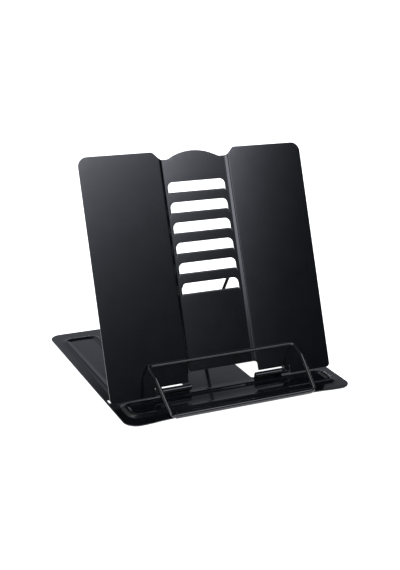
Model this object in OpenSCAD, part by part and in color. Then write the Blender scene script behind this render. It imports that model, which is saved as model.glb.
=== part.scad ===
// Folding sheet-metal stand that holds an open album or book at a slope.
// Millimetres, +Z up, +Y towards the back, origin on the table under the middle of the stand.

/* [Base] */
// Width of the base sheet
base_w = 200; // [190:1:230]
// Depth of the base sheet, front edge to rear edge
base_d = 201; // [190:1:230]
// Thickness of both pressed sheets
sheet_t = 0.9; // [0.8:0.05:1]
// Radius of the base's four corners
base_corner = 11; // [8:0.5:14]
// Height of the rubber pads under the base
foot_h = 1.5; // [1:0.1:2.5]
// Diameter of the rubber pads
foot_d = 12; // [8:0.5:13]
// Height that the pressed beads stand above the sheet
bead_h = 1; // [0.6:0.1:1.2]

/* [Panel] */
// Height of the back panel, measured along its face
panel_h = 195; // [190:1:205]
// Lean of the panel from upright, in degrees, as the prop is set
lean = 21.5; // [19:0.5:24]
// How far the middle strip is pressed back behind the two wings
recess = 2; // [1.5:0.1:2.2]
// Number of slots in the ladder
slot_count = 6; // [4:1:6]
// Width of each slot
slot_w = 51.6; // [48:0.2:53]
// Height of each slot
slot_h = 8.3; // [7.5:0.1:9]
// Distance from one slot to the next
slot_pitch = 16.65; // [16:0.05:17]
// Height of the lowest slot's bottom edge above the panel's bottom edge
slot_low = 78; // [76:0.5:80]
// Depth of the turned-back lip along each slot's bottom edge
lip_d = 0.75; // [0.4:0.05:0.8]

/* [Wire] */
// Diameter of the wire in the prop, the page holder and the hinge pins
wire_d = 3; // [2.8:0.1:3.2]
// Distance between the prop's two legs, centre to centre
prop_w = 42; // [38:1:44]
// Width of the page holder at its top bar, centre to centre
holder_top_w = 133; // [128:1:140]
// Length of the rolled hem that carries the page holder
hem_w = 120; // [110:1:124]

/* [Hidden] */
$fn = 48;

paint = "#1b1c20";
steel = "#2a2b2f";
rubber = "#141414";

// Clearances: round a turning wire, between a pin and the tube it is pressed in, and between bodies
run_gap = 0.05;
press_gap = 0.01;
body_gap = 0.3;
// How far a cutting body reaches past the face it cuts, and how far joined bodies reach into each other
cut = 0.5;
lap = 0.1;

wire_r = wire_d / 2;
run_r = wire_r + run_gap;
curl_r = run_r + sheet_t;

// Base layout. The hem's tube projects in front of the sheet, so the sheet sits a little further back.
hem_back = 1;
hem_over = curl_r - hem_back;
front_y = hem_over - (base_d + hem_over) / 2;
rear_y = front_y + base_d;
base_z = foot_h;
top_z = foot_h + sheet_t;
front_dip = 1.7;
dip_run = 12;
hem_y = front_y + hem_back;
hem_lift = 0.35;
hem_z = top_z + wire_r + hem_lift;

// Panel hinge. Its two tubes stand on the base, each on a web just in front of a hole in the sheet.
hinge_y = front_y + 40.38;
hinge_z = foot_h + 5.48;
hinge_up = 2.99;
lug_in = 29.5;
lug_out = 55.6;
knuckle_in = 56.1;
knuckle_out = 61;
pin_in = 29.8;
pin_out = 61.2;
hole_out = 64.5;
hole_front = hinge_y + curl_r + 4.17;
hole_rear = hole_front + 33;
hole_r = 2;

// Panel outline
panel_top_r = 8;
panel_low_r = 3;
step_in = 28.6;
step_out = step_in + recess;
crest_r = 46;
crest_drop = 0.2;
notch_s = panel_h - 6.4;
notch_half = 36.6;
notch_foot = 31.5;
notch_ease = [2, 1];
notch_fillet = 6;
gate_half = 31.8;
gate_s = 14.8;
gate_r = 2.5;
pocket_half = knuckle_out + 0.4;
pocket_s = 6.7;
pocket_r = 1.5;
slot_r = 4.5;
lip_inset = 1;

// Prop. Its crossbar stands just under the lip of the slot above its own rung.
rest_slot = 1;
bar_gap = 0.8;
bar_drop = 0.8;
bar_s = slot_low + rest_slot * slot_pitch - sheet_t - bar_drop - wire_r;
bar_n = recess + sheet_t + bar_gap + wire_r;
foot_axis_y = hinge_y + 87.63;
foot_axis_z = top_z + wire_r + body_gap;
foot_stub = 11;
loop_in = prop_w / 2 + 5;
loop_out = loop_in + 6;
prop_bend = 4;
window_l = 12;
window_side = 0.4;
window_r = 1;

// Each bend is drawn a hair thinner than the straights and starts just inside them
bend_thin = 0.01;
bend_lap = 0.1;

// Page holder: a closed wire loop, bent once along each leg
holder_low_half = hem_w / 2 + 3.2;
elbow_half = 65.5;
elbow_y = hem_y + 27;
elbow_z = hem_z + 20.3;
holder_s = 24.6;
holder_bend = 4;
leg_bend = 8;
hem_bend = 3;

// Bead centre-lines, as distances from the middle and from the front edge
bead_r = 6;
bead_turn = 6;
bead_out = 89.5;
bead_front = front_y + 15;
bead_mid = front_y + 37.5;
side_in = 60;
side_step = 74;
side_front = front_y + 51;
side_mid = front_y + 90;
side_rear = front_y + 184.5;

// Pads and small slots
foot_x = [78, 74.75];
foot_y = [front_y + 26.2, front_y + 172];
eye_x = 96.8;
eye_y = front_y + 48.5;
eye_w = 2.2;
eye_l = 7;

// A point given in the panel's own directions: across, behind its front face, and up from its bottom edge
function on_panel(x, n, s) = [
    x,
    hinge_y + (n - curl_r) * cos(lean) + (s - hinge_up) * sin(lean),
    hinge_z - (n - curl_r) * sin(lean) + (s - hinge_up) * cos(lean)
];

function unit(v) = v / norm(v);

// Three square directions, the last of them along d
function frame_z(d) =
    let (a = abs(d[0]) < 0.9 ? [1, 0, 0] : [0, 1, 0], e1 = unit(cross(a, d)))
    [e1, cross(d, e1), d];

// Places children so that their x, y and z run along the three directions in e, from the point o
module in_frame(e, o) {
    multmatrix([
        [e[0][0], e[1][0], e[2][0], o[0]],
        [e[0][1], e[1][1], e[2][1], o[1]],
        [e[0][2], e[1][2], e[2][2], o[2]],
        [0, 0, 0, 1]
    ]) children();
}

module rod(a, b, r) {
    in_frame(frame_z(unit(b - a)), a) cylinder(r = r, h = norm(b - a));
}

module tube_x(x0, x1, y, z, r) {
    translate([x0, y, z]) rotate([0, 90, 0]) cylinder(r = r, h = x1 - x0);
}

function turn(a, p, b) = acos(unit(p - a) * unit(b - p));
function setback(a, p, b, r) = r * tan(turn(a, p, b) / 2);

// One bend of a wire at the corner p, coming from a and leaving for b
module bend(a, p, b, r) {
    u = unit(p - a);
    v = unit(b - p);
    inward = unit(v - u * (u * v));
    start = p - u * setback(a, p, b, r);
    in_frame([-inward, u, cross(-inward, u)], start + inward * r)
        rotate_extrude(angle = turn(a, p, b)) translate([r, 0]) circle(r = wire_r - bend_thin);
}

// A wire along the points p, each corner i rounded to the radius rr[i]
module wire(p, rr, closed) {
    n = len(p);
    last = closed ? n - 1 : n - 2;
    for (i = [0 : last]) {
        a = p[i];
        b = p[(i + 1) % n];
        cut_a = (closed || i > 0) ? setback(p[(i + n - 1) % n], a, b, rr[i]) : 0;
        cut_b = (closed || i < n - 2) ? setback(a, b, p[(i + 2) % n], rr[(i + 1) % n]) : 0;
        u = unit(b - a);
        rod(a + u * (cut_a > 0 ? cut_a - bend_lap : 0), b - u * (cut_b > 0 ? cut_b - bend_lap : 0), wire_r);
    }
    for (i = [(closed ? 0 : 1) : (closed ? n - 1 : n - 2)])
        bend(p[(i + n - 1) % n], p[i], p[(i + 1) % n], rr[i]);
}

// Cross-section of a bead: a shallow arc. grow is 0 for its top face and -sheet_t for its underside.
module bead_section(grow, low) {
    intersection() {
        translate([0, sheet_t + bead_h - bead_r]) circle(r = bead_r + grow);
        translate([-bead_r, low]) square([2 * bead_r, sheet_t + bead_h - low]);
    }
}

// A bead along the closed flat path p, in the plane of the base's underside
module bead(p, grow, low) {
    n = len(p);
    for (i = [0 : n - 1]) {
        a = p[(i + n - 1) % n];
        c = p[i];
        b = p[(i + 1) % n];
        u = unit(concat(c - a, 0));
        v = unit(concat(b - c, 0));
        left = [-u[1], u[0], 0];
        side = cross(u, v)[2] > 0 ? 1 : -1;
        in_frame([u, left, [0, 0, 1]], concat(a, 0) + u * bead_turn)
            rotate([90, 0, 90]) linear_extrude(norm(c - a) - 2 * bead_turn) bead_section(grow, low);
        in_frame([u, left, [0, 0, 1]], concat(c, 0) + (side * left - u) * bead_turn)
            rotate([0, 0, side > 0 ? -90 : 0]) rotate_extrude(angle = 90)
                translate([bead_turn, 0]) bead_section(grow, low);
    }
}

function front_loop() = [
    [-bead_out, bead_front], [bead_out, bead_front], [bead_out, bead_mid], [-bead_out, bead_mid]
];
function side_loop(s) = [
    [s * side_in, side_mid], [s * side_step, side_mid], [s * side_step, side_front],
    [s * bead_out, side_front], [s * bead_out, side_rear], [s * side_in, side_rear]
];

module all_beads(grow, low) {
    translate([0, 0, base_z]) {
        bead(front_loop(), grow, low);
        for (s = [-1, 1]) bead(side_loop(s), grow, low);
    }
}

module round_box(x0, y0, x1, y1, r) {
    for (x = [x0 + r, x1 - r], y = [y0 + r, y1 - r]) translate([x, y]) circle(r = r);
    translate([x0 + r, y0]) square([x1 - x0 - 2 * r, y1 - y0]);
    translate([x0, y0 + r]) square([x1 - x0, y1 - y0 - 2 * r]);
}

module base_outline() {
    difference() {
        round_box(-base_w / 2, front_y, base_w / 2, rear_y, base_corner);
        polygon([
            [-base_w / 2 + base_corner, front_y - cut], [-base_w / 2 + base_corner, front_y],
            [-hem_w / 2 - dip_run, front_y + front_dip], [hem_w / 2 + dip_run, front_y + front_dip],
            [base_w / 2 - base_corner, front_y], [base_w / 2 - base_corner, front_y - cut]
        ]);
        for (s = [-1, 1]) {
            translate([s * eye_x, eye_y]) {
                square([eye_w, eye_l - eye_w], center = true);
                for (e = [-1, 1]) translate([0, e * (eye_l - eye_w) / 2]) circle(d = eye_w);
            }
        }
    }
    translate([-hem_w / 2, hem_y]) square([hem_w, front_dip + cut]);
}

// A curled tube, with the web that rises to it from the sheet below its rear side
module curl(x0, x1, y, z) {
    tube_x(x0, x1, y, z, curl_r);
    translate([x0, y + curl_r - sheet_t, base_z]) cube([x1 - x0, sheet_t, z - base_z]);
}

module base_plate() {
    color(paint) difference() {
        union() {
            translate([0, 0, base_z]) linear_extrude(sheet_t) base_outline();
            all_beads(0, 0);
            tube_x(-hem_w / 2, hem_w / 2, hem_y, hem_z, curl_r);
        }
        all_beads(-sheet_t, -cut);
        tube_x(-hem_w / 2 - cut, hem_w / 2 + cut, hem_y, hem_z, run_r);
        for (s = [-1, 1]) {
            mirror([s < 0 ? 1 : 0, 0, 0]) translate([0, 0, base_z - cut])
                linear_extrude(sheet_t + 2 * cut) {
                    round_box(lug_in, hole_front, hole_out, hole_rear, hole_r);
                    translate([0, foot_axis_y + curl_r])
                        round_box(loop_in - window_side, 0, loop_out + window_side, window_l, window_r);
                }
        }
    }
    for (s = [-1, 1]) {
        color(paint) mirror([s < 0 ? 1 : 0, 0, 0]) {
            difference() {
                curl(lug_in, lug_out, hinge_y, hinge_z);
                tube_x(lug_in - cut, lug_out + cut, hinge_y, hinge_z, wire_r + press_gap);
            }
            difference() {
                curl(loop_in, loop_out, foot_axis_y, foot_axis_z);
                tube_x(loop_in - cut, loop_out + cut, foot_axis_y, foot_axis_z, run_r);
            }
        }
    }
}

// Cross-section of the panel, seen from above: two wings and a middle strip set back between them
module panel_section() {
    k = sheet_t * tan(22.5);
    h = base_w / 2;
    polygon([
        [-h, 0], [-step_out, 0], [-step_in, recess], [step_in, recess], [step_out, 0], [h, 0],
        [h, sheet_t], [step_out + k, sheet_t], [step_in + k, recess + sheet_t],
        [-step_in - k, recess + sheet_t], [-step_out - k, sheet_t], [-h, sheet_t]
    ]);
}

// The rounded crest between the two notches, with a fillet where it rises out of them
module crest() {
    mid_s = panel_h - crest_drop - crest_r;
    top_s = notch_s + notch_fillet;
    fillet_x = sqrt(pow(crest_r + notch_fillet, 2) - pow(top_s - mid_s, 2));
    touch = crest_r / (crest_r + notch_fillet);
    root_s = notch_s - notch_fillet;
    intersection() {
        translate([0, mid_s]) circle(r = crest_r);
        translate([-fillet_x, root_s]) square([2 * fillet_x, panel_h - root_s]);
    }
    for (s = [-1, 1]) difference() {
        polygon([
            [0, root_s], [s * fillet_x, root_s], [s * fillet_x, top_s],
            [s * fillet_x * touch, mid_s + (top_s - mid_s) * touch]
        ]);
        translate([s * fillet_x, top_s]) circle(r = notch_fillet);
    }
}

module panel_outline() {
    h = base_w / 2;
    difference() {
        union() {
            translate([-h, panel_low_r]) square([2 * h, panel_h - panel_top_r - panel_low_r]);
            translate([-h + panel_low_r, 0]) square([2 * (h - panel_low_r), panel_low_r + cut]);
            translate([-h + panel_top_r, panel_h - panel_top_r - cut])
                square([2 * (h - panel_top_r), panel_top_r + cut]);
            for (s = [-1, 1]) {
                translate([s * (h - panel_low_r), panel_low_r]) circle(r = panel_low_r);
                translate([s * (h - panel_top_r), panel_h - panel_top_r]) circle(r = panel_top_r);
            }
        }
        polygon([
            [-notch_half, panel_h + cut], [-notch_half, panel_h], [-notch_foot, notch_s + notch_ease[1]],
            [notch_ease[0] - notch_foot, notch_s], [notch_foot - notch_ease[0], notch_s],
            [notch_foot, notch_s + notch_ease[1]], [notch_half, panel_h], [notch_half, panel_h + cut]
        ]);
        round_box(-gate_half, -gate_s, gate_half, gate_s, gate_r);
        round_box(-pocket_half, -pocket_s, pocket_half, pocket_s, pocket_r);
        for (i = [0 : slot_count - 1]) translate([0, slot_low + i * slot_pitch]) slot();
    }
    crest();
}

// A slot with a square bottom edge and rounded top corners
module slot() {
    h = slot_w / 2;
    translate([-h, 0]) square([slot_w, slot_h - slot_r]);
    translate([-h + slot_r, 0]) square([slot_w - 2 * slot_r, slot_h]);
    for (s = [-1, 1]) translate([s * (h - slot_r), slot_h - slot_r]) circle(r = slot_r);
}

module back_panel() {
    panel_deep = recess + sheet_t + cut;
    color(paint) translate([0, hinge_y, hinge_z]) rotate([-lean, 0, 0]) translate([0, -curl_r, -hinge_up]) {
        intersection() {
            translate([0, 0, -cut]) linear_extrude(panel_h + 2 * cut) panel_section();
            translate([0, panel_deep, 0]) rotate([90, 0, 0]) linear_extrude(2 * panel_deep) panel_outline();
        }
        for (i = [0 : slot_count - 1])
            translate([lip_inset - slot_w / 2, recess + sheet_t - lap, slot_low + i * slot_pitch - sheet_t])
                cube([slot_w - 2 * lip_inset, lip_d + lap, sheet_t]);
        for (s = [-1, 1]) mirror([s < 0 ? 1 : 0, 0, 0]) difference() {
            union() {
                tube_x(knuckle_in, knuckle_out, curl_r, hinge_up, curl_r);
                translate([knuckle_in, 0, hinge_up])
                    cube([knuckle_out - knuckle_in, sheet_t, pocket_s - hinge_up + lap]);
            }
            tube_x(knuckle_in - cut, knuckle_out + cut, curl_r, hinge_up, run_r);
        }
    }
}

module hinge_pin_left() {
    color(steel) tube_x(-pin_out, -pin_in, hinge_y, hinge_z, wire_r);
}

module hinge_pin_right() {
    color(steel) tube_x(pin_in, pin_out, hinge_y, hinge_z, wire_r);
}

// The prop: two legs from the crossbar behind the panel down to stubs that turn in the base's loops
module prop_wire() {
    h = prop_w / 2;
    axis = [0, foot_axis_y, foot_axis_z];
    right = [[h + foot_stub, 0, 0] + axis, [h, 0, 0] + axis, on_panel(h, bar_n, bar_s)];
    left = [on_panel(-h, bar_n, bar_s), [-h, 0, 0] + axis, [-h - foot_stub, 0, 0] + axis];
    color(steel) wire(concat(right, left), [0, hem_bend, prop_bend, prop_bend, hem_bend, 0], false);
}

module page_holder_wire() {
    top = holder_top_w / 2;
    top_n = -wire_r - body_gap;
    color(steel) wire([
        [-holder_low_half, hem_y, hem_z], [holder_low_half, hem_y, hem_z], [elbow_half, elbow_y, elbow_z],
        on_panel(top, top_n, holder_s), on_panel(-top, top_n, holder_s), [-elbow_half, elbow_y, elbow_z]
    ], [hem_bend, hem_bend, leg_bend, holder_bend, holder_bend, leg_bend], true);
}

module foot(sx, row) {
    color(rubber) translate([sx * foot_x[row], foot_y[row], 0]) cylinder(d = foot_d, h = foot_h);
}

base_plate();
back_panel();
hinge_pin_left();
hinge_pin_right();
prop_wire();
page_holder_wire();
foot(-1, 0);  // foot_front_left
foot(1, 0);  // foot_front_right
foot(-1, 1);  // foot_rear_left
foot(1, 1);  // foot_rear_right
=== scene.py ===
import bpy
import math
import numpy as np
from mathutils import Matrix, Vector, geometry


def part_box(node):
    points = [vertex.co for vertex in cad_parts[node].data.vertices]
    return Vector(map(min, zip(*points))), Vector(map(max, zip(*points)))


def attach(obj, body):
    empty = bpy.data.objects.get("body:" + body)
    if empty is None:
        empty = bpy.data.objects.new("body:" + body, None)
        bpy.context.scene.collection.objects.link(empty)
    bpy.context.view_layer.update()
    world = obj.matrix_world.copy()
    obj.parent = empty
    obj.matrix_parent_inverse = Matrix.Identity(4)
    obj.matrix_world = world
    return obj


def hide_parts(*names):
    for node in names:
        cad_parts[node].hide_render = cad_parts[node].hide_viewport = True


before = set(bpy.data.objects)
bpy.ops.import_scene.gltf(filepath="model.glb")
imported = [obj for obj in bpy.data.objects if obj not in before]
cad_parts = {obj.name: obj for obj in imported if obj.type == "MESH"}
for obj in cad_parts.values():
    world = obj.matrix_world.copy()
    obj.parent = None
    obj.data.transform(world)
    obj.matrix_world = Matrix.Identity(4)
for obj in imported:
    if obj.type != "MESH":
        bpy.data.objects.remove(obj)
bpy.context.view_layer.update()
MM = 0.001


# ---- places, all from the CAD nodes, in millimetres ----

def box_mm(name):
    lo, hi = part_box(name)
    return np.array(lo) / MM, np.array(hi) / MM


base_hi = box_mm("base_plate")[1]
pin_lo, pin_hi = box_mm("hinge_pin_right")
prop_lo, prop_hi = box_mm("prop_wire")
hold_lo, hold_hi = box_mm("page_holder_wire")
foot_hi = box_mm("foot_front_left")[1]

T = 0.9                                   # sheet thickness
WIRE = (pin_hi[2] - pin_lo[2]) / 2        # wire radius
BEND_TRIM = 0.01                          # the bent wires are this much thinner in radius than the pins
CURL_GAP = 0.05                           # between a wire and the tube curled round it
CURL = WIRE + CURL_GAP + T / 2            # middle radius of every curled tube
HEM_BACK = 1.0                            # the hem's axis behind the base's front edge
BASE_Z = foot_hi[2]
MID_Z = BASE_Z + T / 2
HALF = base_hi[0]
REAR = base_hi[1]
HEM_Y = hold_lo[1] + WIRE
HEM_Z = hold_lo[2] + WIRE
FRONT = HEM_Y - HEM_BACK
HINGE_Y = (pin_lo[1] + pin_hi[1]) / 2
HINGE_Z = (pin_lo[2] + pin_hi[2]) / 2
PROP_Y = prop_hi[1] - WIRE
PROP_Z = prop_lo[2] + WIRE
HINGE_S = 2.99                            # hinge axis above the panel's lower edge, along the panel
HINGE_N = CURL + T / 2                    # and behind its front face
PANEL_H = 195.0
LEAN = math.radians(21.5)                 # the panel's slope at rest, from upright


def panel_point(x, n, s):
    """Across, behind the front face, and up from the bottom edge, to the row frame."""
    c, k = math.cos(LEAN), math.sin(LEAN)
    y = HINGE_Y + (n - HINGE_N) * c + (s - HINGE_S) * k
    z = HINGE_Z - (n - HINGE_N) * k + (s - HINGE_S) * c
    return np.stack([np.broadcast_to(x, np.shape(y)), y, z], axis=-1)


def panel_dir(x, n, s):
    c, k = math.cos(LEAN), math.sin(LEAN)
    return np.stack([x, n * c + s * k, -n * k + s * c], axis=-1)


# ---- camera, at the photograph's angle ----

CAMERA_AZIMUTH = 25.36
CAMERA_HEIGHT = 18.72
CAMERA_ROLL = 1.157
CAMERA_AWAY = 804.0
CAMERA_TARGET = Vector((-24.9, FRONT + 37.0, 94.3))
LENS = 64.930737
SENSOR = 36


def make_camera():
    az, el, roll = (math.radians(a) for a in (CAMERA_AZIMUTH, CAMERA_HEIGHT, CAMERA_ROLL))
    fwd = Vector((math.sin(az) * math.cos(el), math.cos(az) * math.cos(el), -math.sin(el)))
    right = Vector((math.cos(az), -math.sin(az), 0))
    up = right.cross(fwd)
    r2 = right * math.cos(roll) + up * math.sin(roll)
    u2 = up * math.cos(roll) - right * math.sin(roll)
    cam = bpy.data.cameras.new("camera")
    cam.lens = LENS
    cam.sensor_width = SENSOR
    cam.clip_start, cam.clip_end = 0.01, 100
    obj = bpy.data.objects.new("camera", cam)
    m = Matrix((r2, u2, -fwd)).transposed().to_4x4()
    m.translation = (CAMERA_TARGET - fwd * CAMERA_AWAY) * MM
    obj.matrix_world = m
    bpy.context.scene.collection.objects.link(obj)
    bpy.context.scene.camera = obj


make_camera()


# ---- flat outlines ----

def rounded(points, radii, seg=6.0, arc=9.0):
    """A closed polyline through points, its corners rounded in steps of arc degrees, its sides cut by seg."""
    n = len(points)
    if not isinstance(radii, (list, tuple)):
        radii = [radii] * n
    out = []
    for i in range(n):
        a, p, b = (np.array(points[(i + k) % n], float) for k in (-1, 0, 1))
        u, v = (p - a) / np.linalg.norm(p - a), (b - p) / np.linalg.norm(b - p)
        turn = math.atan2(u[0] * v[1] - u[1] * v[0], u @ v)
        r = radii[i]
        if r <= 0 or abs(turn) < 1e-6:
            out.append(p)
            continue
        t = r * math.tan(abs(turn) / 2)
        side = 1 if turn > 0 else -1
        c = p - u * t + side * r * np.array([-u[1], u[0]])
        steps = max(2, int(math.ceil(math.degrees(abs(turn)) / arc)))
        s0 = p - u * t - c
        for k in range(steps + 1):
            g = turn * k / steps
            cg, sg = math.cos(g), math.sin(g)
            out.append(c + np.array([s0[0] * cg - s0[1] * sg, s0[0] * sg + s0[1] * cg]))
    dense = []
    for i, p in enumerate(out):
        q = out[(i + 1) % len(out)]
        k = max(1, int(math.ceil(np.linalg.norm(q - p) / seg)))
        dense += [p + (q - p) * j / k for j in range(k)]
    keep = [dense[0]]
    for p in dense[1:]:
        if np.linalg.norm(p - keep[-1]) > 1e-4:
            keep.append(p)
    return np.array(keep)


def area(loop):
    x, y = loop[:, 0], loop[:, 1]
    return 0.5 * np.sum(x * np.roll(y, -1) - y * np.roll(x, -1))


def inset(loop, d):
    """The loop moved d to its left, with mitred corners."""
    u = loop - np.roll(loop, 1, axis=0)
    v = np.roll(loop, -1, axis=0) - loop
    u /= np.linalg.norm(u, axis=1)[:, None]
    v /= np.linalg.norm(v, axis=1)[:, None]
    nu, nv = np.stack([-u[:, 1], u[:, 0]], 1), np.stack([-v[:, 1], v[:, 0]], 1)
    m = nu + nv
    m /= np.linalg.norm(m, axis=1)[:, None]
    return loop + m * (d / np.maximum(np.sum(m * nu, axis=1), 0.5))[:, None]


def segments(loop, closed=True):
    nxt = np.roll(loop, -1, axis=0) if closed else loop[1:]
    cur = loop if closed else loop[:-1]
    return np.concatenate([cur, nxt], axis=1)


def distance(p, segs):
    """Distance from each point to the nearest of the segments."""
    best = np.full(len(p), 1e9)
    for x0, y0, x1, y1 in segs:
        dx, dy = x1 - x0, y1 - y0
        ll = dx * dx + dy * dy
        t = np.clip(((p[:, 0] - x0) * dx + (p[:, 1] - y0) * dy) / ll, 0, 1)
        ex, ey = p[:, 0] - x0 - t * dx, p[:, 1] - y0 - t * dy
        np.minimum(best, ex * ex + ey * ey, out=best)
    return np.sqrt(best)


def inside(p, segs):
    """Even-odd test against all loops together, so a hole counts as outside."""
    odd = np.zeros(len(p), bool)
    for x0, y0, x1, y1 in segs:
        if y0 == y1:
            continue
        cross = (y0 > p[:, 1]) != (y1 > p[:, 1])
        odd ^= cross & (p[:, 0] < x0 + (p[:, 1] - y0) * (x1 - x0) / (y1 - y0))
    return odd


def across(x0, x1, y, count):
    """A row of points from x0 to x1 at the height y."""
    return np.array([[x, y] for x in np.linspace(x0, x1, count)])


ROUND = 0.2                         # radius on every cut edge of the sheet
INSETS = (0.0, 0.025, 0.09, ROUND)  # the mesh follows each edge at these distances
ROW_END = 0.25                      # rows stop this short of an edge


def sheet_mesh(name, outer, holes, rows, shape, grid=5.0, clear=2.0):
    """A pressed sheet. outer and holes are its flat pattern, rows are lines that the mesh follows, and shape
    bends flat points into place: it gives the middle surface and its normal."""
    loops = [outer if area(outer) > 0 else outer[::-1]] + [h if area(h) < 0 else h[::-1] for h in holes]
    verts, edges = [], []

    def add(line, closed):
        k = len(verts)
        verts.extend(line.tolist())
        edges.extend((k + i, k + i + 1) for i in range(len(line) - 1))
        if closed:
            edges.append((k + len(line) - 1, k))

    for lp in loops:
        for d in INSETS:
            add(inset(lp, d) if d else lp, True)
    for row, closed in rows:
        add(row, closed)
    wall = np.concatenate([segments(lp) for lp in loops])
    near = np.concatenate([wall] + [segments(r, c) for r, c in rows]) if rows else wall
    lo, hi = outer.min(0), outer.max(0)
    gx, gy = np.meshgrid(np.arange(lo[0] + 1.7, hi[0], grid), np.arange(lo[1] + 1.3, hi[1], grid))
    g = np.stack([gx.ravel(), gy.ravel()], 1)
    g = g[inside(g, wall)]
    g = g[distance(g, near) > clear]
    verts.extend(g.tolist())
    out_v, _, out_f, _, _, _ = geometry.delaunay_2d_cdt([Vector(v) for v in verts], edges, [], 0, 1e-5)
    flat = np.array([tuple(v) for v in out_v])
    tri = np.array([tuple(f) for f in out_f if len(f) == 3])
    tri = tri[inside(flat[tri].mean(axis=1), wall)]
    a, b, c = (flat[tri[:, k]] for k in range(3))
    turn = (b[:, 0] - a[:, 0]) * (c[:, 1] - a[:, 1]) - (b[:, 1] - a[:, 1]) * (c[:, 0] - a[:, 0])
    tri = tri[np.abs(turn) > 1e-9]
    turn = turn[np.abs(turn) > 1e-9]
    tri[turn < 0] = tri[turn < 0][:, ::-1]
    used = np.unique(tri)
    index = np.full(len(flat), -1)
    index[used] = np.arange(len(used))
    flat, tri = flat[used], index[tri]
    d = np.minimum(distance(flat, wall), ROUND)
    half = T / 2 - ROUND + np.sqrt(np.maximum(ROUND ** 2 - (ROUND - d) ** 2, 0))
    mid, normal = shape(flat)
    top, low = mid + normal * half[:, None], mid - normal * half[:, None]
    n = len(flat)
    count = {}
    for f in tri.tolist():
        for k in range(3):
            count[(f[k], f[(k + 1) % 3])] = True
    rim = [(a, b) for a, b in count if (b, a) not in count]
    faces = tri.tolist() + (tri[:, ::-1] + n).tolist()
    faces += [(b, a, a + n, b + n) for a, b in rim]
    me = bpy.data.meshes.new(name)
    me.from_pydata((np.concatenate([top, low]) * MM).tolist(), [], faces)
    me.validate()
    me.shade_smooth()
    obj = bpy.data.objects.new(name, me)
    bpy.context.scene.collection.objects.link(obj)
    flatten = obj.modifiers.new("flat_faces", "WEIGHTED_NORMAL")
    flatten.weight = 100
    return obj


def smooth(t):
    t = np.clip(t, 0, 1)
    return t * t * (3 - 2 * t)


# ---- the base ----

BEAD_H = 1.0                    # height of a bead's crest
BEAD_W = 4.1                    # half of its width
BEAD_TURN = 6.0                 # radius of its corners
BEAD_STEPS = (0, 0.6, 1.3, 2.0, 2.7, 3.4, BEAD_W)    # the mesh follows a bead at these distances
BEAD_OUT = 89.5                 # outer line of all three beads
FRONT_BEAD = (FRONT + 15, FRONT + 37.5)
SIDE_BEAD = (FRONT + 51, FRONT + 90, FRONT + 184.5)
SIDE_BEAD_IN = 60               # a side bead's inner line, behind its step
SIDE_BEAD_STEP = 74             # and in front of it


def bead_paths():
    y0, y1 = FRONT_BEAD
    paths = [[(-BEAD_OUT, y0), (BEAD_OUT, y0), (BEAD_OUT, y1), (-BEAD_OUT, y1)]]
    y0, y1, y2 = SIDE_BEAD
    side = [
        (SIDE_BEAD_IN, y1), (SIDE_BEAD_STEP, y1), (SIDE_BEAD_STEP, y0),
        (BEAD_OUT, y0), (BEAD_OUT, y2), (SIDE_BEAD_IN, y2),
    ]
    for s in (-1, 1):
        paths.append([(s * x, y) for x, y in side])
    return [rounded(p, BEAD_TURN, seg=9.0) for p in paths]


BEADS = bead_paths()
BEAD_SEGS = np.concatenate([segments(p) for p in BEADS])

# hinge tubes: a web that rises from the base and curls forward
LUG = (29.5, 55.6)
LUG_TURN = math.radians(305)
LUG_RISE = HINGE_Z - MID_Z

# holes behind the hinge tubes
HOLE_OUT = 64.5
HOLE_FRONT = HINGE_Y + CURL + T / 2 + 4.17
HOLE_REAR = HOLE_FRONT + 33
HOLE_R = 2.0

# loops for the prop: a tab bent up out of a window in the base and curled forward
LOOP = (26.0, 32.0)
LOOP_TURN = math.radians(214)
ROOT_R = 0.75
ROOT_LEN = ROOT_R * math.pi / 2
ROOT_Y = PROP_Y + CURL - ROOT_R
LOOP_RISE = PROP_Z - MID_Z - ROOT_R
LOOP_LEN = ROOT_LEN + LOOP_RISE + CURL * LOOP_TURN
WINDOW_SIDE = 0.4
WINDOW_REAR = PROP_Y + CURL + T / 2 + 12
RELIEF = 0.2                    # the cuts beside a tab reach this far past its root

# hem
HEM_HALF = 60.0
HEM_LEN = CURL * math.radians(322)
HEM_BLEND = 6                   # the sheet rises to the hem over this distance

# eye slots at the base's edges
EYE_X = 96.8
EYE_Y = FRONT + 48.5
EYE_HALF = (1.1, 3.5)
EYE_R = 1.095

# outline
DIP = FRONT + 1.7               # front edge beside the hem
DIP_HALF = 72
DIP_RUN = 20                    # the edge comes back forward this far from the corners
DIP_R = 60
CORNER_R = 11


def base_height(p):
    q = distance(p, BEAD_SEGS)
    z = BEAD_H * (1 - np.minimum(q / BEAD_W, 1) ** 2) ** 2
    rise = smooth((HEM_Y + HEM_BLEND - p[:, 1]) / HEM_BLEND)
    rise *= smooth((HEM_HALF + HEM_BLEND - np.abs(p[:, 0])) / HEM_BLEND)
    return MID_Z + z + (HEM_Z - CURL - MID_Z) * rise


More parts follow.
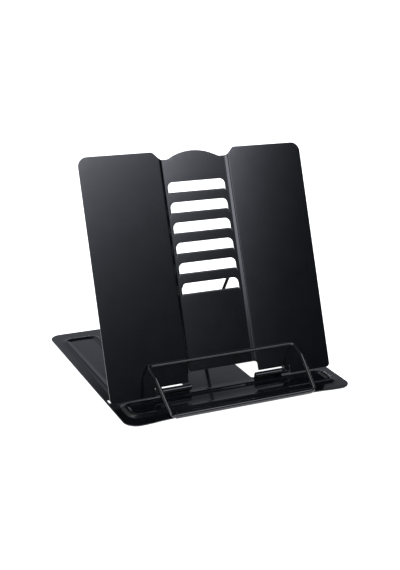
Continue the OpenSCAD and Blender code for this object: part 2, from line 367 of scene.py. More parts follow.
def base_shape(p):
    """The base's middle surface, with its beads, hem and prop loops, and its normals."""
    e = 0.02
    z = base_height(p)
    zx = (base_height(p + [e, 0]) - base_height(p - [e, 0])) / (2 * e)
    zy = (base_height(p + [0, e]) - base_height(p - [0, e])) / (2 * e)
    mid = np.stack([p[:, 0], p[:, 1], z], 1)
    nor = np.stack([-zx, -zy, np.ones(len(p))], 1)
    nor /= np.linalg.norm(nor, axis=1)[:, None]
    x, y = np.abs(p[:, 0]), p[:, 1]
    hem = (x < HEM_HALF + 0.01) & (y < HEM_Y)
    g = (HEM_Y - y[hem]) / CURL
    mid[hem, 1], mid[hem, 2] = HEM_Y - CURL * np.sin(g), HEM_Z - CURL * np.cos(g)
    nor[hem] = np.stack([0 * g, np.sin(g), np.cos(g)], 1)
    on = (x > LOOP[0] - 0.01) & (x < LOOP[1] + 0.01) & (y > ROOT_Y) & (y < ROOT_Y + LOOP_LEN + 0.01)
    t = y[on] - ROOT_Y
    a = np.minimum(t / ROOT_R, math.pi / 2)
    yy = ROOT_Y + ROOT_R * np.sin(a)
    zz = MID_Z + ROOT_R * (1 - np.cos(a)) + np.clip(t - ROOT_LEN, 0, LOOP_RISE)
    ny, nz = -np.sin(a), np.cos(a)
    f = np.maximum(t - ROOT_LEN - LOOP_RISE, 0) / CURL
    c = f > 0
    yy[c], zz[c] = PROP_Y + CURL * np.cos(f[c]), PROP_Z + CURL * np.sin(f[c])
    ny[c], nz[c] = -np.cos(f[c]), -np.sin(f[c])
    mid[on, 1], mid[on, 2] = yy, zz
    nor[on] = np.stack([0 * ny, ny, nz], 1)
    return mid, nor


def base_outline():
    half = [
        ((HEM_HALF, HEM_Y - HEM_LEN), 1.0), ((HEM_HALF, DIP), 0.4), ((DIP_HALF, DIP), DIP_R),
        ((HALF - DIP_RUN, FRONT), DIP_R), ((HALF, FRONT), CORNER_R), ((HALF, REAR), CORNER_R),
    ]
    both = half + [((-x, y), r) for (x, y), r in half[::-1]]
    return rounded([p for p, _ in both], [r for _, r in both])


def loop_window():
    """The cut round a prop loop's tab: narrow beside the tab and open behind it."""
    x0, x1 = LOOP
    cut, tip = ROOT_Y - RELIEF, ROOT_Y + LOOP_LEN
    corners = [
        ((x0 - WINDOW_SIDE, cut), 0.1), ((x0, cut), 0.1), ((x0, tip), 0.6), ((x1, tip), 0.6),
        ((x1, cut), 0.1), ((x1 + WINDOW_SIDE, cut), 0.1),
        ((x1 + WINDOW_SIDE, WINDOW_REAR), 1), ((x0 - WINDOW_SIDE, WINDOW_REAR), 1),
    ]
    return [p for p, _ in corners], [r for _, r in corners]


def mirrored(points, s):
    return [(s * x, y) for x, y in points]


def base_piece():
    hole = [(LUG[0], HOLE_FRONT), (HOLE_OUT, HOLE_FRONT), (HOLE_OUT, HOLE_REAR), (LUG[0], HOLE_REAR)]
    window, window_radii = loop_window()
    w, h = EYE_HALF
    eye = [(EYE_X + i * w, EYE_Y + j * h) for i, j in ((-1, -1), (1, -1), (1, 1), (-1, 1))]
    holes = []
    for s in (-1, 1):
        holes.append(rounded(mirrored(hole, s), HOLE_R))
        holes.append(rounded(mirrored(window, s), window_radii))
        holes.append(rounded(mirrored(eye, s), EYE_R, arc=15))
    rows = []
    steps = [-q for q in BEAD_STEPS[:0:-1]] + list(BEAD_STEPS)
    for p in BEADS:
        for q in steps:
            rows.append((inset(p, q) if q else p, True))
    turns = 40
    for k in range(turns + 1):
        y = HEM_Y - HEM_LEN * k / turns
        rows.append((across(ROW_END - HEM_HALF, HEM_HALF - ROW_END, y, 13), False))
    for k in range(1, 5):
        y = HEM_Y + HEM_BLEND * k / 4
        rows.append((across(-HEM_HALF - HEM_BLEND, HEM_HALF + HEM_BLEND, y, 23), False))
    straight = ROOT_LEN + LOOP_RISE
    ys = [ROOT_LEN * k / 8 for k in range(9)]
    ys += [straight + (LOOP_LEN - straight) * k / 34 for k in range(34)]
    for s in (-1, 1):
        for t in ys:
            rows.append((across(s * (LOOP[0] + ROW_END), s * (LOOP[1] - ROW_END), ROOT_Y + t, 5), False))
    return sheet_mesh("base_sheet", base_outline(), holes, rows, base_shape)


def lug_shape(p):
    """A web standing on the base, curled forward at its top into the hinge tube."""
    mid = np.stack([p[:, 0], np.full(len(p), HINGE_Y + CURL), MID_Z + p[:, 1]], 1)
    nor = np.tile([0.0, -1.0, 0.0], (len(p), 1))
    a = (p[:, 1] - LUG_RISE) / CURL
    c = a > 0
    mid[c, 1], mid[c, 2] = HINGE_Y + CURL * np.cos(a[c]), HINGE_Z + CURL * np.sin(a[c])
    nor[c] = np.stack([0 * a[c], -np.cos(a[c]), -np.sin(a[c])], 1)
    return mid, nor


def lug_piece(s):
    length = LUG_RISE + CURL * LUG_TURN
    flat = mirrored([(LUG[0], 0), (LUG[1], 0), (LUG[1], length), (LUG[0], length)], s)
    outer = rounded(flat, [0.1, 0.1, 0.8, 0.8])
    rows = []
    turns = 35
    for k in range(turns):
        y = LUG_RISE + CURL * LUG_TURN * k / turns
        rows.append((across(s * (LUG[0] + ROW_END), s * (LUG[1] - ROW_END), y, 5), False))
    return sheet_mesh("base_lug_left" if s < 0 else "base_lug_right", outer, [], rows, lug_shape)


# ---- the panel ----

# the two folds between the wings and the middle strip, which lies RECESS behind them
RECESS = 2.0
STEP_MID = 29.8
STEP_R = 1.1
STEP_OUT = STEP_MID + RECESS / 2 + STEP_R * math.tan(math.pi / 8)     # where a fold's arcs begin
STEP_IN = STEP_MID - RECESS / 2 - STEP_R * math.tan(math.pi / 8)      # and end
STEP_ARC = STEP_R * math.sin(math.pi / 4)                             # width of one arc

# the ladder's slots, each with a lip bent back along its lower edge
SLOT_HALF = 25.8
SLOT_H = 8.3
SLOT_R = 4.5
SLOT_LOW_R = 0.18
SLOTS = [78 + 16.65 * i for i in range(6)]
LIP_R = 0.55
LIP_BEND = LIP_R * math.pi / 2
LIP_LEN = LIP_BEND + 0.65
LIP_HALF = SLOT_HALF - 0.45
LIP_END_R = 0.3

# the knuckles at the lower edge, and the pockets that clear the hinge tubes
KNUCKLE = (56.1, 61.0)
KNUCKLE_TURN = math.radians(312)
KNUCKLE_CUT = KNUCKLE[1] + 0.4
POCKET_S = 6.7
GATE = (31.8, 14.8)             # the cut-out's upper corner

# the upper edge: a crest between two notches
NOTCH_HALF = 36.6
NOTCH_S = PANEL_H - 6.4
NOTCH_FOOT = ((31.1, NOTCH_S + 0.9), (29.3, NOTCH_S))
CREST_R = 46.0
CREST_DROP = 0.2
CREST_FILLET = 6.0
TOP_R = 8
LOW_R = 3


def step_profile(x):
    """How far the middle surface lies behind the wings' at a distance x from the middle, and its slope."""
    n, k = np.zeros_like(x), np.zeros_like(x)
    a = (x < STEP_OUT) & (x >= STEP_OUT - STEP_ARC)
    depth = np.sqrt(STEP_R ** 2 - (x[a] - STEP_OUT) ** 2)
    n[a], k[a] = STEP_R - depth, (x[a] - STEP_OUT) / depth
    b = (x < STEP_OUT - STEP_ARC) & (x >= STEP_IN + STEP_ARC)
    n[b], k[b] = STEP_MID + RECESS / 2 - x[b], -1
    c = (x < STEP_IN + STEP_ARC) & (x >= STEP_IN)
    depth = np.sqrt(STEP_R ** 2 - (x[c] - STEP_IN) ** 2)
    n[c], k[c] = RECESS - STEP_R + depth, -(x[c] - STEP_IN) / depth
    n[x < STEP_IN] = RECESS
    return n, k


def lip_start(slot):
    return slot - LIP_R - T / 2


def panel_shape(p):
    """The panel's middle surface, with its folds, lips and knuckles, and its normals."""
    x, s = p[:, 0], p[:, 1].copy()
    ax = np.abs(x)
    n, k = step_profile(ax)
    n = n + T / 2
    k = k * np.sign(x)
    nx, nn, ns = k.copy(), -np.ones_like(x), np.zeros_like(x)
    for slot in SLOTS:
        start = lip_start(slot)
        on = (ax < LIP_HALF + 0.01) & (p[:, 1] > start) & (p[:, 1] < start + LIP_LEN + 0.01)
        t = p[on, 1] - start
        g = np.minimum(t / LIP_R, math.pi / 2)
        n[on] += LIP_R * (1 - np.cos(g)) + np.maximum(t - LIP_BEND, 0)
        s[on] = start + LIP_R * np.sin(g)
        nn[on], ns[on] = -np.cos(g), np.sin(g)
    on = (ax > KNUCKLE[0] - 0.01) & (ax < KNUCKLE[1] + 0.01) & (p[:, 1] < HINGE_S)
    g = (HINGE_S - p[on, 1]) / CURL
    n[on], s[on] = HINGE_N - CURL * np.cos(g), HINGE_S - CURL * np.sin(g)
    nn[on], ns[on] = -np.cos(g), -np.sin(g)
    ln = np.sqrt(nx ** 2 + nn ** 2 + ns ** 2)
    return panel_point(x, n, s), panel_dir(nx / ln, nn / ln, ns / ln)


def panel_outline():
    """The right half of the flat pattern from the bottom middle up to the crest, then its mirror image."""
    tip = HINGE_S - CURL * KNUCKLE_TURN
    k0, k1 = KNUCKLE
    crest_s = PANEL_H - CREST_DROP - CREST_R
    fillet_s = NOTCH_S + CREST_FILLET
    fillet_x = math.sqrt((CREST_R + CREST_FILLET) ** 2 - (fillet_s - crest_s) ** 2)
    meet = math.atan2(fillet_s - crest_s, fillet_x)
    half = [
        (GATE, 2.5), ((GATE[0], POCKET_S), 1.2), ((k0, POCKET_S), 0.3), ((k0, tip), 0.6), ((k1, tip), 0.6),
        ((k1, POCKET_S), 0.1), ((KNUCKLE_CUT, POCKET_S), 0.1), ((KNUCKLE_CUT, 0), 0.8), ((HALF, 0), LOW_R),
        ((HALF, PANEL_H), TOP_R), ((NOTCH_HALF, PANEL_H), 2.5), (NOTCH_FOOT[0], 4.0), (NOTCH_FOOT[1], 3.0),
    ]
    steps = 6
    turn = meet - math.pi / 2
    for i in range(steps + 1):
        g = turn * i / steps - math.pi / 2
        half.append(((fillet_x + CREST_FILLET * math.cos(g), fillet_s + CREST_FILLET * math.sin(g)), 0))
    steps = 12
    for i in range(1, steps):
        g = meet + (math.pi / 2 - meet) * i / steps
        half.append(((CREST_R * math.cos(g), crest_s + CREST_R * math.sin(g)), 0))
    both = half + [((0, crest_s + CREST_R), 0)] + [((-x, y), r) for (x, y), r in half[::-1]]
    return rounded([p for p, _ in both], [r for _, r in both])


def slot_loop(slot):
    """A slot's flat cut: its lip stays as a tab that stands up into it."""
    start = lip_start(slot)
    top, end = slot + SLOT_H, start + LIP_LEN
    corners = [
        ((SLOT_HALF, start), SLOT_LOW_R), ((SLOT_HALF, top), SLOT_R), ((-SLOT_HALF, top), SLOT_R),
        ((-SLOT_HALF, start), SLOT_LOW_R), ((-LIP_HALF, start), SLOT_LOW_R), ((-LIP_HALF, end), LIP_END_R),
        ((LIP_HALF, end), LIP_END_R), ((LIP_HALF, start), SLOT_LOW_R),
    ]
    return rounded([p for p, _ in corners], [r for _, r in corners])


def panel_piece():
    rows = []
    arcs = [STEP_ARC * math.sin(k / 5 * math.pi / 2) for k in range(6)]
    xs = [STEP_OUT - w for w in arcs] + [STEP_IN + w for w in arcs] + [STEP_OUT + 0.8, STEP_IN - 0.8]
    for s in (-1, 1):
        for x in xs:
            line = [[s * x, y] for y in np.linspace(POCKET_S + 0.5, PANEL_H + 3, 40)]
            rows.append((np.array(line), False))
    for slot in SLOTS:
        for k in range(9):
            y = lip_start(slot) + LIP_BEND * k / 8
            rows.append((across(ROW_END - LIP_HALF, LIP_HALF - ROW_END, y, 9), False))
    turns = 40
    for s in (-1, 1):
        for k in range(turns):
            y = HINGE_S - CURL * KNUCKLE_TURN * k / turns
            rows.append((across(s * (KNUCKLE[0] + ROW_END), s * (KNUCKLE[1] - ROW_END), y, 3), False))
    holes = [slot_loop(slot) for slot in SLOTS]
    return sheet_mesh("panel_sheet", panel_outline(), holes, rows, panel_shape, grid=8.0)


# ---- wires and turned pieces ----

def rounded3(points, radii, closed, arc=6.0):
    """A wire's centreline through points in space, with each bend rounded."""
    n = len(points)
    pts = [np.array(p, float) for p in points]
    out = []
    for i, p in enumerate(pts):
        if not closed and i in (0, n - 1):
            out.append(p)
            continue
        a, b = pts[i - 1], pts[(i + 1) % n]
        u, v = (p - a) / np.linalg.norm(p - a), (b - p) / np.linalg.norm(b - p)
        turn = math.acos(max(-1, min(1, u @ v)))
        inward = v - u * (u @ v)
        inward /= np.linalg.norm(inward)
        r = radii[i]
        c = p - u * r * math.tan(turn / 2) + inward * r
        steps = int(math.ceil(math.degrees(turn) / arc))
        for k in range(steps + 1):
            g = turn * k / steps
            out.append(c - inward * r * math.cos(g) + u * r * math.sin(g))
    return np.array(out)


CHAMFER = 0.22              # of a wire's radius


def wire_mesh(name, path, radius, closed, sides=28):
    """A round wire along path, with its ends chamfered."""
    nxt = np.roll(path, -1, axis=0) - path
    if not closed:
        nxt[-1] = nxt[-2]
    prv = np.roll(nxt, 1, axis=0)
    if not closed:
        prv[0] = nxt[0]
    tan = nxt / np.linalg.norm(nxt, axis=1)[:, None] + prv / np.linalg.norm(prv, axis=1)[:, None]
    tan /= np.linalg.norm(tan, axis=1)[:, None]
    ref = np.array([0.0, 0.0, 1.0]) if abs(tan[0][2]) < 0.9 else np.array([0.0, 1.0, 0.0])
    e = np.cross(tan[0], ref)
    e /= np.linalg.norm(e)
    frames = []
    for t in tan:
        e = e - t * (e @ t)
        e /= np.linalg.norm(e)
        frames.append((e.copy(), np.cross(t, e)))
    twist = 0.0
    if closed:
        e = frames[-1][0] - tan[0] * (frames[-1][0] @ tan[0])
        e /= np.linalg.norm(e)
        twist = math.atan2(e @ frames[0][1], e @ frames[0][0])
    rings = []
    ang = np.arange(sides) * 2 * math.pi / sides
    count = len(path)
    for i, (p, (e1, e2)) in enumerate(zip(path, frames)):
        a = ang - twist * i / count
        rings.append((p, e1, e2, a, radius))
    if not closed:
        ch = radius * CHAMFER
        steps = [(0, 1), (0.4, 0.35), (1, 0)]       # along the wire, and off its radius, in chamfers
        p, e1, e2, a, r = rings[0]
        start = [(p + tan[0] * ch * u, e1, e2, a, r - ch * v) for u, v in steps]
        p, e1, e2, a, r = rings[-1]
        end = [(p - tan[-1] * ch * u, e1, e2, a, r - ch * v) for u, v in steps[::-1]]
        rings = start + rings[1:-1] + end
    verts = []
    for p, e1, e2, a, r in rings:
        verts += (p + r * (np.cos(a)[:, None] * e1 + np.sin(a)[:, None] * e2)).tolist()
    m = len(rings)
    faces = []
    for i in range(m if closed else m - 1):
        j = (i + 1) % m
        for k in range(sides):
            l = (k + 1) % sides
            faces.append((i * sides + k, i * sides + l, j * sides + l, j * sides + k))
    if not closed:
        for i, flip in ((0, True), (m - 1, False)):
            ring = [i * sides + k for k in range(sides)]
            faces.append(ring[::-1] if flip else ring)
    me = bpy.data.meshes.new(name)
    me.from_pydata((np.array(verts) * MM).tolist(), [], faces)
    me.validate()
    me.shade_smooth()
    me.set_sharp_from_angle(angle=math.radians(50))
    obj = bpy.data.objects.new(name, me)
    bpy.context.scene.collection.objects.link(obj)
    return obj


def long_steps(path, closed, step=9.0):
    """Cuts a path's long straights into shorter ones."""
    out = []
    n = len(path)
    for i in range(n):
        p = path[i]
        if i == n - 1 and not closed:
            out.append(p)
            break
        q = path[(i + 1) % n]
        k = max(1, int(np.linalg.norm(q - p) / step))
        out += [p + (q - p) * j / k for j in range(k)]
    return np.array(out)


STUB = 11.0                                         # a prop stub's length, outwards from its leg
HOLDER_LOW = HEM_HALF + 3.2                         # the page holder's corner beside the hem
HOLDER_ELBOW = (65.5, HEM_Y + 27, HEM_Z + 20.3)     # its legs' bend
HOLDER_BENDS = [3, 3, 8, 4, 4, 8]
PROP_BENDS = [0, 3, 4, 4, 3, 0]


def prop_piece():
    x = prop_hi[0] - STUB
    y0, z1 = prop_lo[1] + WIRE, prop_hi[2] - WIRE
    pts = [
        (prop_hi[0], PROP_Y, PROP_Z), (x, PROP_Y, PROP_Z), (x, y0, z1),
        (-x, y0, z1), (-x, PROP_Y, PROP_Z), (prop_lo[0], PROP_Y, PROP_Z),
    ]
    path = long_steps(rounded3(pts, PROP_BENDS, False), False)
    return wire_mesh("prop_rod", path, WIRE - BEND_TRIM, False)


def holder_piece():
    top, ty, tz = hold_hi - WIRE
    ex, ey, ez = HOLDER_ELBOW
    pts = [
        (-HOLDER_LOW, HEM_Y, HEM_Z), (HOLDER_LOW, HEM_Y, HEM_Z), (ex, ey, ez),
        (top, ty, tz), (-top, ty, tz), (-ex, ey, ez),
    ]
    path = long_steps(rounded3(pts, HOLDER_BENDS, True), True)
    return wire_mesh("holder_rod", path, WIRE - BEND_TRIM, True)


def lathe(name, profile, place, sides=48):
    """Turns a profile of (radius, height) points about an axis. place puts its points into the row frame."""
    verts, faces = [], []
    for r, h in profile:
        for k in range(sides):
            g = 2 * math.pi * k / sides
            verts.append(place(r * math.cos(g), r * math.sin(g), h))
    m = len(profile)
    for i in range(m - 1):
        for k in range(sides):
            l = (k + 1) % sides
            faces.append((i * sides + k, i * sides + l, (i + 1) * sides + l, (i + 1) * sides + k))
    faces.append([k for k in range(sides)][::-1])
    faces.append([(m - 1) * sides + k for k in range(sides)])
    me = bpy.data.meshes.new(name)
    me.from_pydata((np.array(verts) * MM).tolist(), [], faces)
    me.validate()
    me.shade_smooth()
    me.set_sharp_from_angle(angle=math.radians(40))
    obj = bpy.data.objects.new(name, me)
    bpy.context.scene.collection.objects.link(obj)
    return obj


def pin_piece(side, node):
    lo, hi = box_mm(node)
    r = WIRE - 0.005
    long = hi[0] - lo[0]
    end = [(r - 0.4, 0), (r - 0.12, 0.12), (r, 0.4)]
    prof = end + [(a, long - h) for a, h in end[::-1]]
    return lathe("pin_" + side, prof, lambda a, b, h: (lo[0] + h, HINGE_Y + a, HINGE_Z + b), sides=32)


def foot_piece(where):
    lo, hi = box_mm("foot_" + where)
    cx, cy = (lo[0] + hi[0]) / 2, (lo[1] + hi[1]) / 2
    r = (hi[0] - lo[0]) / 2
    prof = [(r - 4.2, 0.22), (r - 3.9, 0.06), (r - 3.6, 0)] + [
        (r - 0.7 + 0.6 * math.sin(g), 0.6 - 0.6 * math.cos(g)) for g in (0, 0.4, 0.8, 1.2, math.pi / 2)
    ] + [(r, BASE_Z - 0.1), (r - 0.1, BASE_Z - 0.01)]
    return lathe("pad_" + where, prof, lambda a, b, h: (cx + a, cy + b, h))


# ---- materials ----

class Net:
    """Small helper for building a material's nodes."""

    def __init__(self, name):
        self.mat = bpy.data.materials.new(name)
        self.mat.use_nodes = True
        self.tree = self.mat.node_tree
        self.bsdf = self.tree.nodes["Principled BSDF"]
        self.coord = self.add("ShaderNodeTexCoord").outputs["Object"]

    def add(self, kind, **props):
        n = self.tree.nodes.new(kind)
        for k, v in props.items():
            setattr(n, k, v)
        return n

    def put(self, socket, value):
        if isinstance(value, bpy.types.NodeSocket):
            self.tree.links.new(value, socket)
        else:
            socket.default_value = value

    def noise(self, scale, detail=3.0, rough=0.5, stretch=None):
        n = self.add("ShaderNodeTexNoise")
        v = self.coord
        if stretch:
            m = self.add("ShaderNodeMapping")
            self.put(m.inputs["Vector"], v)
            m.inputs["Scale"].default_value = stretch
            v = m.outputs["Vector"]
        self.put(n.inputs["Vector"], v)
        n.inputs["Scale"].default_value = scale
        n.inputs["Detail"].default_value = detail
        n.inputs["Roughness"].default_value = rough
        return n.outputs["Fac"]

    def ramp(self, fac, stops):
        r = self.add("ShaderNodeValToRGB")
        self.put(r.inputs["Fac"], fac)
        el = r.color_ramp.elements
        while len(el) < len(stops):
            el.new(0.5)
        for e, (pos, col) in zip(el, stops):
            e.position = pos
            e.color = col if len(col) == 4 else (*col, 1)
        return r.outputs["Color"]

    def span(self, fac, lo, hi, a=0.0, b=1.0):
        m = self.add("ShaderNodeMapRange")
        self.put(m.inputs["Value"], fac)
        m.inputs["From Min"].default_value = a
        m.inputs["From Max"].default_value = b
        m.inputs["To Min"].default_value = lo
        m.inputs["To Max"].default_value = hi
        return m.outputs["Result"]

    def math(self, op, a, b=None):
        m = self.add("ShaderNodeMath", operation=op)
        self.put(m.inputs[0], a)
        if b is not None:
            self.put(m.inputs[1], b)
        return m.outputs[0]

    def mix(self, fac, a, b):
        m = self.add("ShaderNodeMix", data_type="RGBA")
        self.put(m.inputs["Factor"], fac)
        self.put(m.inputs[6], a)
        self.put(m.inputs[7], b)
        return m.outputs[2]

    def bump(self, height, strength, distance, normal=None):
        b = self.add("ShaderNodeBump")
        self.put(b.inputs["Height"], height)
        b.inputs["Strength"].default_value = strength
        b.inputs["Distance"].default_value = distance
        if normal is not None:
            self.put(b.inputs["Normal"], normal)
        return b.outputs["Normal"]


def edge_mask(net, radius):
    """1 on the piece's outside edges, 0 on its faces."""
    bev = net.add("ShaderNodeBevel", samples=6)
    bev.inputs["Radius"].default_value = radius
    geo = net.add("ShaderNodeNewGeometry")
    dot = net.add("ShaderNodeVectorMath", operation="DOT_PRODUCT")
    net.put(dot.inputs[0], bev.outputs["Normal"])
    net.put(dot.inputs[1], geo.outputs["Normal"])
    return net.span(dot.outputs["Value"], 1.0, 0.0, 0.80, 0.985)


# how far the panel's normals lean sideways, at each part's left and right side
FLEX_WING = (math.radians(-4.4), math.radians(-0.2))
FLEX_MIDDLE = (math.radians(-3.2), math.radians(-1.5))


def sheet_flex(net):
    """The normals of a panel with a slightly bowed middle strip and right wing. The mesh itself is flat."""
    part = net.add("ShaderNodeSeparateXYZ")
    net.put(part.inputs[0], net.coord)
    x = part.outputs[0]
    step = STEP_MID * MM
    wing = net.math("MULTIPLY", net.span(x, *FLEX_WING, step, HALF * MM), net.math("GREATER_THAN", x, step))
    middle = net.math("LESS_THAN", net.math("ABSOLUTE", x), step)
    middle = net.math("MULTIPLY", net.span(x, *FLEX_MIDDLE, -step, step), middle)
    lean = net.add("ShaderNodeCombineXYZ")
    net.put(lean.inputs[0], net.math("ADD", wing, middle))
    total = net.add("ShaderNodeVectorMath", operation="ADD")
    net.put(total.inputs[0], net.add("ShaderNodeNewGeometry").outputs["Normal"])
    net.put(total.inputs[1], lean.outputs[0])
    unit = net.add("ShaderNodeVectorMath", operation="NORMALIZE")
    net.put(unit.inputs[0], total.outputs[0])
    return unit.outputs[0]


ENAMEL_LOW = (0.0018, 0.0020, 0.0028)
ENAMEL_HIGH = (0.0032, 0.0034, 0.0044)
ENAMEL_WORN = (0.055, 0.055, 0.058, 1)
SHEET_ROUGH = 0.09
WIRE_ROUGH = 0.10
WIRE_TINT = 1.2             # the wire's enamel is this much lighter than the sheet's


def paint(name, rough, tint=1.0, flex=False):
    """Glossy black stove enamel on steel: slight orange peel, fine handling marks, edges rubbed a little."""
    n = Net(name)
    big = n.noise(9, 2.0, 0.5)
    mid = n.noise(70, 4.0, 0.6)
    hairs = n.noise(260, 3.0, 0.7, stretch=(0.08, 1.0, 0.35))
    hairs2 = n.noise(300, 3.0, 0.7, stretch=(1.0, 0.07, 0.5))
    base = n.ramp(n.math("ADD", n.math("MULTIPLY", big, 0.6), n.math("MULTIPLY", mid, 0.4)), [
        (0.3, tuple(c * tint for c in ENAMEL_LOW)),
        (0.7, tuple(c * tint for c in ENAMEL_HIGH)),
    ])
    worn = n.math("MULTIPLY", edge_mask(n, 0.00035), n.span(n.noise(180, 4.0, 0.7), 0.0, 0.9, 0.46, 0.68))
    n.put(n.bsdf.inputs["Base Color"], n.mix(worn, base, ENAMEL_WORN))
    r = n.span(mid, rough - 0.015, rough + 0.02, 0.3, 0.7)
    marks = n.math("ADD", n.span(hairs, 0.0, 0.02, 0.62, 0.78), n.span(hairs2, 0.0, 0.02, 0.62, 0.78))
    n.put(n.bsdf.inputs["Roughness"], n.math("ADD", n.math("ADD", r, marks), n.math("MULTIPLY", worn, 0.18)))
    n.bsdf.inputs["IOR"].default_value = 1.5
    wave = n.noise(420, 2.0, 0.4)
    grain = n.noise(2600, 2.0, 0.5)
    b = n.bump(wave, 0.20, 0.00002, sheet_flex(n) if flex else None)
    b = n.bump(grain, 0.12, 0.000006, b)
    n.put(n.bsdf.inputs["Normal"], b)
    return n.mat


def rubber():
    n = Net("pad_rubber")
    f = n.noise(500, 5.0, 0.7)
    colour = n.ramp(f, [(0.3, (0.010, 0.010, 0.010)), (0.75, (0.028, 0.027, 0.026))])
    n.put(n.bsdf.inputs["Base Color"], colour)
    n.put(n.bsdf.inputs["Roughness"], n.span(f, 0.62, 0.86))
    n.put(n.bsdf.inputs["Normal"], n.bump(n.noise(1800, 3.0, 0.6), 0.5, 0.00005))
    return n.mat


def dress(obj, mat, body, slot, *replaced):
    obj.data.materials.clear()
    obj.data.materials.append(mat)
    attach(obj, body)
    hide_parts(*replaced)


sheet_paint = paint("sheet_enamel", SHEET_ROUGH)
panel_paint = paint("panel_enamel", SHEET_ROUGH, flex=True)
wire_paint = paint("wire_enamel", WIRE_ROUGH, WIRE_TINT)
pad_rubber = rubber()

dress(base_piece(), sheet_paint, "base", "black_paint", "base_plate")
for s in (-1, 1):
    dress(lug_piece(s), sheet_paint, "base", "black_paint", "base_plate")
dress(panel_piece(), panel_paint, "panel", "black_paint", "back_panel")
dress(prop_piece(), wire_paint, "prop", "black_wire", "prop_wire")
dress(holder_piece(), wire_paint, "page_holder", "black_wire", "page_holder_wire")
for side in ("left", "right"):
    dress(pin_piece(side, "hinge_pin_" + side), wire_paint, "base", "black_wire", "hinge_pin_" + side)
for where in ("front_left", "front_right", "rear_left", "rear_right"):
    dress(foot_piece(where), pad_rubber, "base", "rubber", "foot_" + where)


# ---- floor, light and sky ----

# Light levels, and where each light stands. front and back angles are measured to the right of straight in
# front of the stand and straight behind it, and heights above the floor, all in degrees. In a fade the light
# is absent at the first angle and whole at the second.
KEY_LEVEL = 2.2
KEY_AT = (21, 28)                           # the front angle and height where the key has its level
KEY_DRIFT = math.degrees(0.14)              # its logarithm falls by 0.14 for each degree to the right
KEY_CLIMB = math.degrees(0.27)              # and rises by 0.27 for each degree up
KEY_TOP = 5.0
KEY_FADES = ((-8, 12), (56, 40))            # front, height
LEFT_LEVEL = 5.0
LEFT_FADES = ((-95, -72), (-38, -56), (4, 15), (60, 40))        # front twice, height twice
REAR_LEVEL = 0.36
REAR_FADES = ((58, 36), (-60, -20), (0, 12))                    # back twice, height
REAR_TOP_FADE = (26, 23)                    # the sheen's upper limit in height
REAR_TOP_END = (16, 4)                      # to the left of these back angles the limit doesn't hold
TOP_LEVEL = 0.45
TOP_FADE = (50, 85)                         # height
ROOM_LEVEL = 0.02
SKY_COLOUR = (0.965, 1.0, 1.13, 1)
FLOOR_RADIUS = 14.0
FLOOR_GLOW = 1.05                           # keeps the floor white where the stand shades it
SUN_DOWN = (0.05, 0.1, -1)
SUN_STRENGTH = 1.1
SUN_SPREAD = 36


def make_stage():
    seg = 64
    turns = [2 * math.pi * k / seg for k in range(seg)]
    verts = [(0, 0, 0)] + [(FLOOR_RADIUS * math.cos(g), FLOOR_RADIUS * math.sin(g), 0) for g in turns]
    faces = [(0, 1 + k, 1 + (k + 1) % seg) for k in range(seg)]
    me = bpy.data.meshes.new("floor")
    me.from_pydata(verts, [], faces)
    floor = bpy.data.objects.new("floor", me)
    bpy.context.scene.collection.objects.link(floor)
    n = Net("floor_paper")
    colour = n.ramp(n.noise(3, 2.0), [(0.3, (0.86, 0.86, 0.86)), (0.7, (0.90, 0.90, 0.90))])
    n.put(n.bsdf.inputs["Base Color"], colour)
    n.bsdf.inputs["Roughness"].default_value = 0.9
    n.bsdf.inputs["Specular IOR Level"].default_value = 0.2
    n.bsdf.inputs["Emission Color"].default_value = (1, 1, 1, 1)
    n.bsdf.inputs["Emission Strength"].default_value = FLOOR_GLOW
    me.materials.append(n.mat)


def sun_light(name, direction, strength, spread):
    d = bpy.data.lights.new(name, "SUN")
    d.energy = strength
    d.angle = math.radians(spread)
    o = bpy.data.objects.new(name, d)
    o.rotation_mode = "QUATERNION"
    o.rotation_quaternion = Vector(direction).to_track_quat("-Z", "Y")
    bpy.context.scene.collection.objects.link(o)


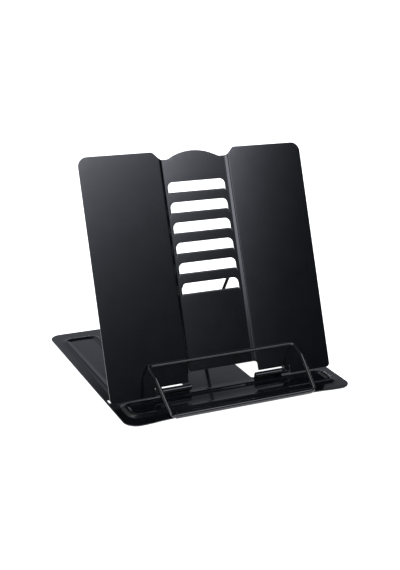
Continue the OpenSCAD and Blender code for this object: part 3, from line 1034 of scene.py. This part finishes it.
def make_sky():
    """A dim room: a large soft key in front, a smaller one at the left, a faint sheen behind and above."""
    w = bpy.data.worlds.new("studio")
    bpy.context.scene.world = w
    w.use_nodes = True
    tree = w.node_tree
    new, link = tree.nodes.new, tree.links.new

    def put(socket, value):
        if isinstance(value, bpy.types.NodeSocket):
            link(value, socket)
        else:
            socket.default_value = value

    def calc(op, a, b=0.0):
        m = new("ShaderNodeMath")
        m.operation = op
        put(m.inputs[0], a)
        put(m.inputs[1], b)
        return m.outputs[0]

    def fade(value, a, b):
        """0 at a and beyond, 1 at b and beyond, in degrees."""
        m = new("ShaderNodeMapRange")
        m.interpolation_type = "SMOOTHERSTEP"
        put(m.inputs["Value"], value)
        lo, hi = min(a, b), max(a, b)
        m.inputs["From Min"].default_value = math.radians(lo)
        m.inputs["From Max"].default_value = math.radians(hi)
        m.inputs["To Min"].default_value = 0.0 if a < b else 1.0
        m.inputs["To Max"].default_value = 1.0 if a < b else 0.0
        return m.outputs["Result"]

    part = new("ShaderNodeSeparateXYZ")
    link(new("ShaderNodeTexCoord").outputs["Generated"], part.inputs[0])
    x, y, z = part.outputs
    height = calc("ARCSINE", z)
    front = calc("ARCTAN2", x, calc("MULTIPLY", y, -1.0))
    back = calc("ARCTAN2", x, y)

    def fades(*pairs):
        """The product of several fades, each given as an angle and its two limits."""
        total = fade(pairs[0][0], *pairs[0][1])
        for angle, limits in pairs[1:]:
            total = calc("MULTIPLY", total, fade(angle, *limits))
        return total

    # the key falls off towards the floor and towards the right
    climb = calc("MULTIPLY", calc("SUBTRACT", height, math.radians(KEY_AT[1])), KEY_CLIMB)
    drift = calc("MULTIPLY", calc("SUBTRACT", front, math.radians(KEY_AT[0])), KEY_DRIFT)
    key = calc("MULTIPLY", calc("EXPONENT", calc("SUBTRACT", climb, drift)), KEY_LEVEL)
    key = calc("MINIMUM", key, KEY_TOP)
    total = calc("MULTIPLY", key, fades((front, KEY_FADES[0]), (height, KEY_FADES[1])))

    around = (front, front, height, height)
    left = fades(*zip(around, LEFT_FADES))
    total = calc("ADD", total, calc("MULTIPLY", left, LEFT_LEVEL))

    around = (back, back, height)
    rear = fades(*zip(around, REAR_FADES))
    rear = calc("MULTIPLY", rear, calc("MAXIMUM", fade(height, *REAR_TOP_FADE), fade(back, *REAR_TOP_END)))
    total = calc("ADD", total, calc("MULTIPLY", rear, REAR_LEVEL))

    total = calc("ADD", total, calc("MULTIPLY", fade(height, *TOP_FADE), TOP_LEVEL))
    total = calc("ADD", total, ROOM_LEVEL)
    bg = tree.nodes["Background"]
    bg.inputs["Color"].default_value = SKY_COLOUR
    link(total, bg.inputs["Strength"])


make_stage()
make_sky()
sun_light("top_sun", SUN_DOWN, SUN_STRENGTH, SUN_SPREAD)
bpy.context.scene.view_settings.view_transform = "Standard"
